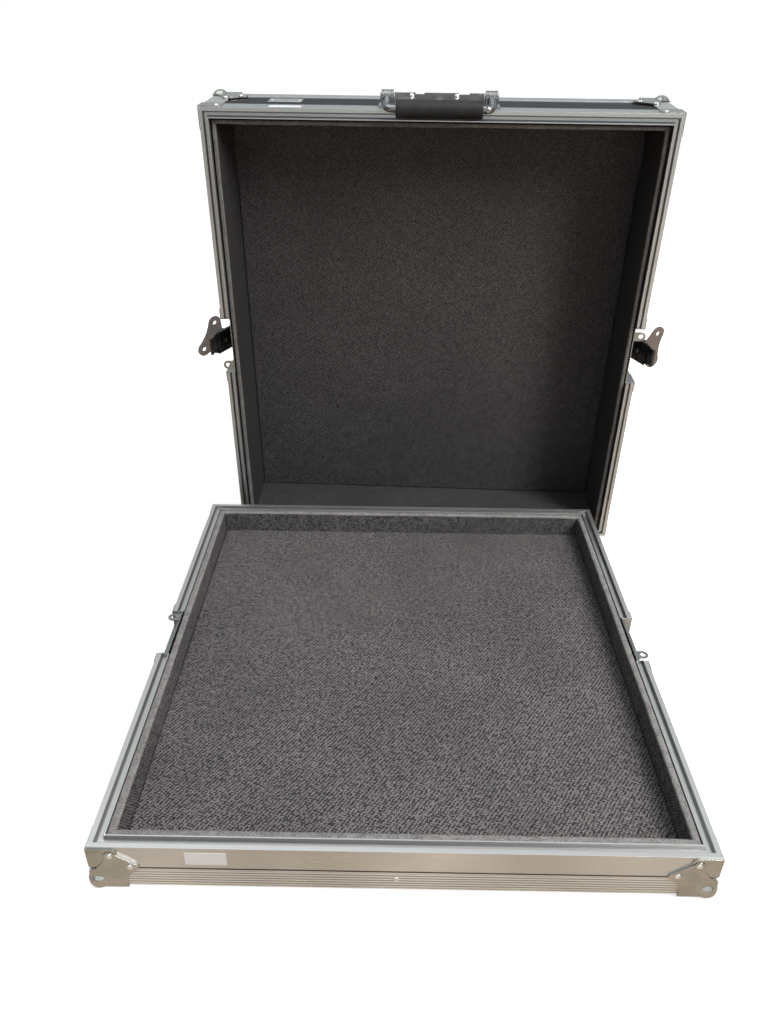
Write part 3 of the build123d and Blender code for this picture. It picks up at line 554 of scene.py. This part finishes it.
def foam_strip(axes, side, back, face, foot, wave_depth, seed, steps):
    """Strip on a wall: a rounded section run along it, its face and top slightly uneven."""
    angle, reach, half = side
    origin, along, into, out = side_axes(axes, angle, reach)
    # Each point of the section: inward, depth, whether its face dents, whether its top sinks
    section = [(back, foot, 0, 0), (face, foot, 1, 0)]
    for turn in quarter(4):
        inward = face - STRIP_ROUND * (1 - math.cos(turn))
        section.append((inward, STRIP_TOP + STRIP_ROUND * (1 - math.sin(turn)), 1, 1))
    small = STRIP_ROUND * 0.5
    for turn in quarter(3):
        inward = back + small * (1 - math.sin(turn))
        section.append((inward, STRIP_TOP + small * (1 - math.cos(turn)), 0, 1))
    shape = bmesh.new()
    rings = []
    for step in range(steps + 1):
        share = -1 + 2 * step / steps
        spot = share * half
        dent = unevenness(spot, (seed, 70), (seed + 3, 23)) * wave_depth / 2.8
        sink = unevenness(spot, (seed + 9, 110), (seed + 5, 31)) * wave_depth / 3.4
        near_end = max(0.0, 1 - (half - abs(spot)) / 34.0)
        sink += near_end**2 * wave_depth * 1.1
        ring = []
        for inward, depth, dents, sinks in section:
            u = inward - dents * max(dent, 0)
            w = depth + sinks * max(sink, 0)
            x = share * (half - u - 0.15)
            ring.append(shape.verts.new(origin + (along * x - out * u + into * w) * MM))
        rings.append(ring)
    count = len(section)
    for first, second in zip(rings, rings[1:]):
        for n in range(count):
            m = (n + 1) % count
            made = shape.faces.new((first[n], first[m], second[m], second[n]))
            # The rounded top shows the foam's cut edge
            made.material_index = 1 if 2 <= n < count - 2 else 0
    shape.faces.new(rings[0])
    shape.faces.new(list(reversed(rings[-1])))
    return shape


def foam_pad(axes, half_x, half_y, near, far, seed, wave_depth, cells):
    """Foam pad: a gently uneven sheet with rounded edges, its back flat."""
    origin, across, down, into = axes

    def lines(half):
        """Places of the grid's lines, closer over the rounded edge."""
        edge = [share * PAD_ROUND for share in (0, 0.18, 0.45, 0.75, 1.1, 1.6, 2.4, 4.0)]
        low = [-half + step for step in edge]
        inner = half - edge[-1]
        middle = [-inner + 2 * inner * n / cells for n in range(1, cells)]
        return low + middle + [-line for line in reversed(low)]

    def drop(distance):
        """How far the rounded edge falls at a distance from the pad's side."""
        if distance >= PAD_ROUND:
            return 0.0
        return PAD_ROUND - math.sqrt(max(PAD_ROUND**2 - (PAD_ROUND - distance) ** 2, 0))

    xs, ys = lines(half_x), lines(half_y)
    shape = bmesh.new()
    grid = []
    for y in ys:
        row = []
        for x in xs:
            edge = min(half_x - abs(x), half_y - abs(y))
            dip = noise.noise(Vector((x / 90 + seed, y / 90, seed))) * 0.5 + 0.5
            depth = near + drop(edge) + dip * wave_depth * min(1.0, edge / 20 + 0.3)
            row.append(shape.verts.new(origin + (across * x + down * y + into * depth) * MM))
        grid.append(row)
    for upper, lower in zip(grid, grid[1:]):
        for c in range(len(xs) - 1):
            shape.faces.new((upper[c], upper[c + 1], lower[c + 1], lower[c]))
    right = [row[-1] for row in grid[1:]]
    left = [row[0] for row in grid[-2:0:-1]]
    border = grid[0] + right + grid[-1][-2::-1] + left
    back = []
    for vert in border:
        level = (vert.co - origin).dot(into)
        back.append(shape.verts.new(vert.co + into * (far * MM - level)))
    for n in range(len(border)):
        m = (n + 1) % len(border)
        made = shape.faces.new((border[n], border[m], back[m], back[n]))
        made.material_index = 1
    shape.faces.new(back)
    return shape


def slab(axes, *limits, bevel=0.0):
    """Plate between limits along three axes, in millimetres, with softened edges where asked."""
    origin, *directions = axes
    centre = origin.copy()
    sizes = []
    for direction, (low, high) in zip(directions, limits):
        centre += direction * (low + high) / 2 * MM
        sizes.append(direction * (high - low) * MM)
    place = Matrix.Translation(centre) @ Matrix(sizes).transposed().to_4x4()
    shape = bmesh.new()
    bmesh.ops.create_cube(shape, size=1.0, matrix=place)
    if bevel:
        bmesh.ops.bevel(
            shape,
            geom=shape.edges[:],
            offset=bevel * MM,
            segments=2,
            affect="EDGES",
            profile=0.5,
            material=-1,
        )
    return shape


def dome(shape, centre, outward, radius, rise):
    """Add a low rivet dome to a bmesh, in millimetres about a point in metres."""
    size = Matrix.Diagonal((radius * MM, radius * MM, rise * MM, 1.0))
    turn = outward.to_track_quat("Z", "Y").to_matrix().to_4x4()
    place = Matrix.Translation(centre) @ turn @ size
    ball = bmesh.ops.create_uvsphere(
        shape, u_segments=20, v_segments=8, radius=1.0, matrix=place
    )["verts"]
    own = set(ball)
    edges = [edge for edge in shape.edges if own.issuperset(edge.verts)]
    faces = [face for face in shape.faces if own.issuperset(face.verts)]
    cut = bmesh.ops.bisect_plane(
        shape,
        geom=ball + edges + faces,
        dist=1e-7,
        plane_co=centre,
        plane_no=outward,
        clear_inner=True,
    )
    rim = [item for item in cut["geom_cut"] if isinstance(item, bmesh.types.BMEdge)]
    bmesh.ops.edgeloop_fill(shape, edges=rim)


def colour_property(name, description, default):
    """Colour of one finish."""
    return FloatVectorProperty(
        name=name, description=description, default=default, subtype="COLOR", min=0, max=1
    )


def size_property(name, description, default):
    """Length and height of a flat piece."""
    return FloatVectorProperty(
        name=name, description=description, default=default, size=2, unit="LENGTH", min=0.001
    )


def power_property(name, description, default):
    """Power of a lamp."""
    return FloatProperty(name=name, description=description, default=default, unit="POWER", min=0)


def angle_property(name, description, degrees):
    """Angle of the camera."""
    return FloatProperty(
        name=name, description=description, default=math.radians(degrees), subtype="ANGLE"
    )


class CaseFoamSettings(bpy.types.PropertyGroup):
    """How uneven the foam is."""

    strip_wave: FloatProperty(
        name="Strip unevenness",
        description="How far strip faces stray",
        default=0.0009,
        min=0,
        max=0.002,
        unit="LENGTH",
    )
    pad_wave: FloatProperty(
        name="Pad unevenness",
        description="How far pads dip",
        default=0.0007,
        min=0,
        max=0.002,
        unit="LENGTH",
    )
    steps: IntProperty(
        name="Strip steps", description="Rings along a strip", default=150, min=8, max=400
    )
    cells: IntProperty(
        name="Pad cells", description="Cells across a pad", default=70, min=8, max=200
    )


class CaseFinishSettings(bpy.types.PropertyGroup):
    """Colours of the finishes."""

    base_metal: colour_property(
        "Base extrusions", "Satin aluminium round the base", (0.64, 0.645, 0.64)
    )
    lid_metal: colour_property(
        "Lid extrusions", "Satin aluminium round the lid", (0.58, 0.61, 0.625)
    )
    posts: colour_property("Posts", "Satin aluminium at the lid's corners", (0.70, 0.70, 0.705))
    corners: colour_property("Corners", "Zinc plating of corners and braces", (0.48, 0.49, 0.46))
    rivets: colour_property("Rivets", "Plating of the rivet heads", (0.86, 0.86, 0.86))
    dishes: colour_property(
        "Latch dishes", "Plating of dishes, rings and keepers", (0.4, 0.412, 0.418)
    )
    wings: colour_property("Wings", "Dark plating of the latch wings", (0.236, 0.196, 0.181))
    latches: colour_property(
        "Latch bodies", "Black of carriers, hubs and hooks", (0.008, 0.008, 0.009)
    )
    stem_ends: colour_property("Stem ends", "Peened steel under the latches", (0.7, 0.7, 0.7))
    chrome: colour_property(
        "Handle chrome", "Plating of the bail and brackets", (0.3, 0.303, 0.306)
    )
    back_plate: colour_property(
        "Handle plate", "Plating of the folded back plate", (0.5, 0.5, 0.49)
    )
    grip: colour_property("Grip", "Black of the grip", (0.010, 0.0095, 0.010))
    boards: colour_property("Boards", "Black of the faced boards", (0.012, 0.012, 0.013))
    foam: colour_property("Foam", "Raised part of the foam's weave", (0.215, 0.205, 0.204))
    base_foam_edge: colour_property(
        "Base foam edge", "Cut edge of the base's foam", (0.33, 0.325, 0.32)
    )
    # Darker than the base's cut edge: painted shade inside the lid
    lid_foam_edge: colour_property(
        "Lid foam edge", "Cut edge of the lid's foam", (0.2, 0.195, 0.19)
    )
    labels: colour_property("Labels", "Paper of the blank labels", (0.93, 0.96, 1.0))
    plate: colour_property("Blank plate", "Plating of the blank plate", (0.74, 0.74, 0.73))


class CaseLabelSettings(bpy.types.PropertyGroup):
    """Sizes of the blank labels and the blank plate."""

    base_label: size_property("Base label", "Length and height", (0.04, 0.0175))
    lid_label: size_property("Lid label", "Length and height", (0.041, 0.01))
    plate: size_property("Plate", "Length and height", (0.044, 0.025))


class CaseStageSettings(bpy.types.PropertyGroup):
    """Studio light and camera."""

    key: power_property("Key light", "Power of the overhead light", 14)
    window: power_property("Window light", "Power of the tall side light", 106)
    front: power_property("Front card", "Power of the low card seen in reflections", 14)
    sky: FloatProperty(name="Sky", description="Strength of the world", default=0.09, min=0)
    room: FloatProperty(
        name="Room", description="Strength of the world in reflections", default=1.05, min=0
    )
    camera_place: FloatVectorProperty(
        name="Camera",
        description="Camera place",
        default=(-0.01781, -0.81705, 0.72906),
        subtype="TRANSLATION",
    )
    yaw: angle_property("Yaw", "Turn to the right", -0.46)
    pitch: angle_property("Pitch", "Tilt down", 31.17)
    roll: angle_property("Roll", "Roll", 0.59)
    lens: FloatProperty(
        name="Lens", description="Focal length", default=29.11, min=1, unit="CAMERA"
    )


class CASE_OT_metal(bpy.types.Operator):
    """Finish the extrusions, corners, latches and handle"""

    bl_idname = "case.metal"
    bl_label = "Metal finishes"

    def execute(self, context):
        finish = context.scene.case_finish
        shells = (
            ("base", base_axes(), BASE_HEIGHT, tuple(finish.base_metal), BASE_GROOVES),
            ("lid", lid_axes(), LID_HEIGHT, tuple(finish.lid_metal), LID_GROOVES),
        )
        lengths = (("front", ACROSS), ("rear", ACROSS), ("left", DOWN), ("right", DOWN))
        for shell, axes, height, tint, grooves in shells:
            pale = tone(tint, 1.3)
            rib_start = height - RIB_START
            for side, grain in lengths:
                rim, edge = f"{shell}_rim_{side}", f"{shell}_edge_{side}"
                shade_nodes(aluminium(f"{rim}_metal", axes, grain, tint, grooves=grooves), rim)
                shade_nodes(aluminium(f"{edge}_metal", axes, grain, pale, rib_start), edge)
        posts = aluminium("lid_post_metal", lid_axes(), DEPTH, tuple(finish.posts))
        shade_nodes(posts, "lid_corner_posts")
        shade_nodes(
            plated("corner_plating", tuple(finish.corners), (0.1, 0.2), 0.5),
            "base_ball_corners",
            "lid_ball_corners",
            "base_corner_braces",
            "lid_corner_braces",
        )
        shade_nodes(
            plated("rivet_steel", tuple(finish.rivets), (0.14, 0.24), 0.3),
            "base_rivets",
            "lid_rivets",
        )
        shade_nodes(
            plated("latch_plating", tuple(finish.dishes), (0.2, 0.34), 0.6),
            "base_latch_dishes",
            "lid_latch_dishes",
            "base_latch_keepers",
            "lid_latch_pivot_pins",
        )
        wing = plated("wing_steel", tuple(finish.wings), (0.5, 0.62), 0.4, metallic=0.55)
        black = moulded("latch_black", tuple(finish.latches), 0.2)
        for side in ("left", "right"):
            shade_nodes(wing, f"{side}_latch_wing")
            shade_nodes(black, *(f"{side}_latch_{piece}" for piece in ("hub", "hook", "carrier")))
        shade_nodes(
            plated("handle_chrome", tuple(finish.chrome), (0.05, 0.12), 0.15),
            "handle_brackets",
            "handle_pins",
            "handle_bail",
        )
        back_plate = plated("handle_plating", tuple(finish.back_plate), (0.24, 0.36), 0.5)
        shade_nodes(back_plate, "handle_plate")
        shade_nodes(moulded("grip_black", tuple(finish.grip), 0.48, 0.3), "handle_grip")
        return {"FINISHED"}


class CASE_OT_boards(bpy.types.Operator):
    """Face the boards with black laminate"""

    bl_idname = "case.boards"
    bl_label = "Board finish"

    def execute(self, context):
        black = laminate(tuple(context.scene.case_finish.boards))
        shade_nodes(black, "base_floor_board", "lid_top_board")
        for shell in ("base", "lid"):
            shade_nodes(black, *(f"{shell}_wall_{side}" for side in BASE_SIDES))
        return {"FINISHED"}


def line_shell(context, shell, axes, sides, lining, edge_tint):
    """Replace the plain foam solids of one shell with uneven, rounded pieces."""
    settings = context.scene.case_foam
    tint = tuple(context.scene.case_finish.foam)
    body, lit_and_shaded_shares = lining["body"], lining["lit_and_shaded_shares"]
    grain = lining["contrast"], lining["fineness"]
    cut = cut_foam(f"{shell}_foam_cut", tuple(edge_tint))
    # Each skin gets its share of painted light and shade
    floor_skin = foam(
        f"{shell}_foam_floor_skin", tint, axes, ACROSS, DOWN, FLOOR_WEAVE, lit_and_shaded_shares["floor"], *grain
    )
    long_skin = foam(
        f"{shell}_foam_long_skin", tint, axes, ACROSS, DEPTH, WALL_WEAVE, lit_and_shaded_shares["front"], *grain
    )
    side_skin = foam(
        f"{shell}_foam_side_skin", tint, axes, DOWN, DEPTH, WALL_WEAVE, lit_and_shaded_shares["side"], *grain
    )
    for number, (name, side) in enumerate(sides.items()):
        skin = side_skin if name in ("left", "right") else long_skin
        shape = foam_strip(
            axes,
            side,
            **lining["strip"],
            wave_depth=settings.strip_wave / MM,
            seed=number + 1.3,
            steps=settings.steps,
        )
        piece = finish_mesh(f"{shell}_{name}_lining", shape, (skin, cut), body)
        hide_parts(f"{shell}_foam_{name}")
    pad = dict(lining["pad"])
    inset = pad.pop("inset")
    shape = foam_pad(
        axes,
        HALF_WIDTH - inset,
        HALF_LENGTH - inset,
        **pad,
        wave_depth=settings.pad_wave / MM,
        cells=settings.cells,
    )
    piece = finish_mesh(f"{shell}_pad", shape, (floor_skin, floor_skin), body)
    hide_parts(lining["pad_node"])


class CASE_OT_base_foam(bpy.types.Operator):
    """Line the base tray with foam"""

    bl_idname = "case.base_foam"
    bl_label = "Base foam"

    def execute(self, context):
        edge_tint = context.scene.case_finish.base_foam_edge
        line_shell(context, "base", base_axes(), BASE_SIDES, BASE_LINING, edge_tint)
        return {"FINISHED"}


class CASE_OT_lid_foam(bpy.types.Operator):
    """Line the lid with foam"""

    bl_idname = "case.lid_foam"
    bl_label = "Lid foam"

    def execute(self, context):
        # The lid's darker edge colour is painted shade
        edge_tint = context.scene.case_finish.lid_foam_edge
        line_shell(context, "lid", lid_axes(), LID_SIDES, LID_LINING, edge_tint)
        return {"FINISHED"}


def flat_piece(wall, place, size, bevel=0.0):
    """Slab on a wall about its middle; the size is in metres, the place in millimetres."""
    middle, reach = place
    spans = [(m - s / MM / 2, m + s / MM / 2) for m, s in zip(middle, size)]
    return slab(wall, *spans, reach, bevel=bevel)


class CASE_OT_labels(bpy.types.Operator):
    """Add the blank riveted plate and the two blank labels"""

    bl_idname = "case.labels"
    bl_label = "Blank labels"

    def execute(self, context):
        finish = context.scene.case_finish
        sizes = context.scene.case_labels
        label = paper(tuple(finish.labels))
        base_front = side_axes(base_axes(), *BASE_SIDES["front"][:2])
        shape = flat_piece(base_front, BASE_LABEL, sizes.base_label)
        finish_mesh("base_blank_label", shape, (label,), "base_tray")
        lid_front = side_axes(lid_axes(), *LID_SIDES["front"][:2])
        shape = flat_piece(lid_front, LID_LABEL, sizes.lid_label)
        finish_mesh("lid_blank_label", shape, (label,), "lid_shell")
        shape = flat_piece(lid_front, PLATE, sizes.plate, PLATE_EDGE)
        origin, along, into, out = lid_front
        (middle, depth), _ = PLATE
        reach = sizes.plate[0] / MM / 2 - PLATE_RIVET_INSET
        for x in (middle - reach, middle + reach):
            centre = origin + (along * x + into * depth + out * PLATE_RIVET_FOOT) * MM
            dome(shape, centre, out, *PLATE_RIVET_DOME)
        plate = plated("blank_plate", tuple(finish.plate), (0.25, 0.38), 0.6)
        finish_mesh("lid_blank_plate", shape, (plate,), "lid_shell")
        return {"FINISHED"}


class CASE_OT_stems(bpy.types.Operator):
    """Add the peened stem end under each latch carrier"""

    bl_idname = "case.stems"
    bl_label = "Latch stem ends"

    def execute(self, context):
        tint = tuple(context.scene.case_finish.stem_ends)
        bright = plated("stem_end", tint, (0.2, 0.3), 0.4)
        for side in ("left", "right"):
            joint = JOINTS[f"{side}_latch_turn"]
            outward = Vector(joint["axis"]).normalized()
            shape = bmesh.new()
            centre = Vector(joint["pos_m"]) - outward * STEM_REACH * MM
            dome(shape, centre, -outward, *STEM_END_DOME)
            finish_mesh(f"{side}_stem_end", shape, (bright,), f"{side}_hub")
        return {"FINISHED"}


def add_floor():
    """Pale floor: near white to the camera, warm and mottled in the light it throws back."""
    shape = bmesh.new()
    bmesh.ops.create_grid(shape, x_segments=1, y_segments=1, size=FLOOR_HALF)
    floor = add_mesh("floor", shape)
    lowest = min(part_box(f"{shell}_ball_corners")[0].z for shell in ("base", "lid"))
    floor.location.z = lowest - FLOOR_GAP
    g = Graph(bpy.data.materials.new("studio_floor"))
    point = g.point()
    mottle = g.span(g.noise(point, 3.0, roughness=0.5), 0.3, 0.7)
    pale = g.blend(mottle, (0.93, 0.93, 0.93), (0.90, 0.90, 0.90))
    matt = g.node("ShaderNodeBsdfDiffuse", {"Color": pale})
    across, away, _ = g.split(point)
    distance = g.math("SQRT", across * across + away * away)
    strength = g.span(distance, 0.5, 2.5, 0.74, 0.97)
    glow = g.node("ShaderNodeEmission", {"Color": WHITE, "Strength": strength})
    shown = g.node("ShaderNodeAddShader", {0: matt, 1: glow})
    boards = g.span(g.noise(point, 5.0, detail=2.0, roughness=0.5), 0.38, 0.62)
    wood = g.blend(boards, (0.46, 0.38, 0.30), (0.70, 0.60, 0.50))
    warm = g.node("ShaderNodeBsdfDiffuse", {"Color": wood})
    seen = g.node("ShaderNodeLightPath", output="Is Camera Ray")
    shade(floor, g.finish(g.node("ShaderNodeMixShader", {0: seen, 1: warm, 2: shown})))


def set_world(scene, settings):
    """White world to the camera, bands of a room in reflections, a faint sky for the rest."""
    scene.world = bpy.data.worlds.new("studio")
    g = Graph(scene.world, "ShaderNodeOutputWorld")
    bands = [(height, tone(ROOM_WALL, share)) for height, share in ROOM_BANDS]
    stops = [(0.0, ROOM_FLOOR), *bands, (CEILING_START, ROOM_CEILING)]
    height = g.split(g.point("Generated"))[2]
    ramp = g.node("ShaderNodeValToRGB", {0: height}, stops=stops)

    def background(colour, strength):
        """A plain part of the world."""
        return g.node("ShaderNodeBackground", {"Color": colour, "Strength": strength})

    sky = background((0.93, 0.95, 1.0), settings.sky)
    room = background(ramp, settings.room)
    glossy = g.node("ShaderNodeLightPath", output="Is Glossy Ray")
    inner = g.node("ShaderNodeMixShader", {0: glossy, 1: sky, 2: room})
    seen = g.node("ShaderNodeLightPath", output="Is Camera Ray")
    g.finish(g.node("ShaderNodeMixShader", {0: seen, 1: inner, 2: background(WHITE, 1.0)}))


def add_lamp(name, spot, aim, size, power, tint):
    """Rectangular area lamp at a spot, turned to its aim."""
    lamp = bpy.data.lights.new(name, "AREA")
    lamp.shape = "RECTANGLE"
    lamp.size, lamp.size_y = size
    lamp.energy = power
    lamp.color = tint
    holder = add_object(name, lamp)
    holder.location = spot
    holder.rotation_euler = (Vector(aim) - Vector(spot)).to_track_quat("-Z", "Y").to_euler()
    return holder


def add_camera(scene, settings):
    """Camera at the photograph's place and angle."""
    data = bpy.data.cameras.new("camera")
    data.lens = settings.lens
    data.clip_end = 200
    camera = add_object("camera", data)
    camera.matrix_world = (
        Matrix.Translation(settings.camera_place)
        @ Matrix.Rotation(-settings.yaw, 4, "Z")
        @ Matrix.Rotation(math.pi / 2 - settings.pitch, 4, "X")
        @ Matrix.Rotation(settings.roll, 4, "Z")
    )
    scene.camera = camera


class CASE_OT_stage(bpy.types.Operator):
    """Set up the floor, light and camera"""

    bl_idname = "case.stage"
    bl_label = "Studio"

    def execute(self, context):
        scene = context.scene
        settings = scene.case_stage
        add_floor()
        set_world(scene, settings)
        add_lamp(
            "key_light", (-0.5, 0.1, 2.3), (0, 0.15, 0.1), (1.8, 1.8), settings.key, (1, 0.99, 0.97)
        )
        add_lamp(
            "window_light",
            (1.55, -1.0, 2.3),
            (0, 0.2, 0.35),
            (0.7, 1.9),
            settings.window,
            (1.0, 0.98, 0.96),
        )
        card = add_lamp(
            "front_card", (0, -2.6, 0.8), (0, 0, 0.3), (4.4, 1.5), settings.front, (0.93, 0.97, 1.0)
        )
        card.visible_diffuse = False
        add_camera(scene, settings)
        scene.view_settings.view_transform = "Standard"
        return {"FINISHED"}


class CASE_PT_panel(bpy.types.Panel):
    """Settings and buttons for each group of the case"""

    bl_idname = "CASE_PT_panel"
    bl_label = "Mixer flight case"
    bl_space_type = "VIEW_3D"
    bl_region_type = "UI"
    bl_category = "Case"

    def draw(self, context):
        scene = context.scene
        for group in (scene.case_foam, scene.case_finish, scene.case_labels, scene.case_stage):
            for name in group.__annotations__:
                self.layout.prop(group, name)
        for operator in OPERATORS:
            self.layout.operator(operator.bl_idname)


OPERATORS = (
    CASE_OT_metal,
    CASE_OT_boards,
    CASE_OT_base_foam,
    CASE_OT_lid_foam,
    CASE_OT_labels,
    CASE_OT_stems,
    CASE_OT_stage,
)
CLASSES = (
    CaseFoamSettings,
    CaseFinishSettings,
    CaseLabelSettings,
    CaseStageSettings,
    *OPERATORS,
    CASE_PT_panel,
)


def register():
    """Add the classes and settings."""
    for cls in CLASSES:
        bpy.utils.register_class(cls)
    bpy.types.Scene.case_foam = PointerProperty(type=CaseFoamSettings)
    bpy.types.Scene.case_finish = PointerProperty(type=CaseFinishSettings)
    bpy.types.Scene.case_labels = PointerProperty(type=CaseLabelSettings)
    bpy.types.Scene.case_stage = PointerProperty(type=CaseStageSettings)


def unregister():
    """Take the classes and settings away."""
    del bpy.types.Scene.case_stage
    del bpy.types.Scene.case_labels
    del bpy.types.Scene.case_finish
    del bpy.types.Scene.case_foam
    for cls in reversed(CLASSES):
        bpy.utils.unregister_class(cls)


def main():
    """Build the whole scene."""
    register()
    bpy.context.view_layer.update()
    bpy.ops.case.metal()
    bpy.ops.case.boards()
    bpy.ops.case.base_foam()
    bpy.ops.case.lid_foam()
    bpy.ops.case.labels()
    bpy.ops.case.stems()
    bpy.ops.case.stage()
    bpy.context.view_layer.update()


if __name__ == "__main__":
    main()
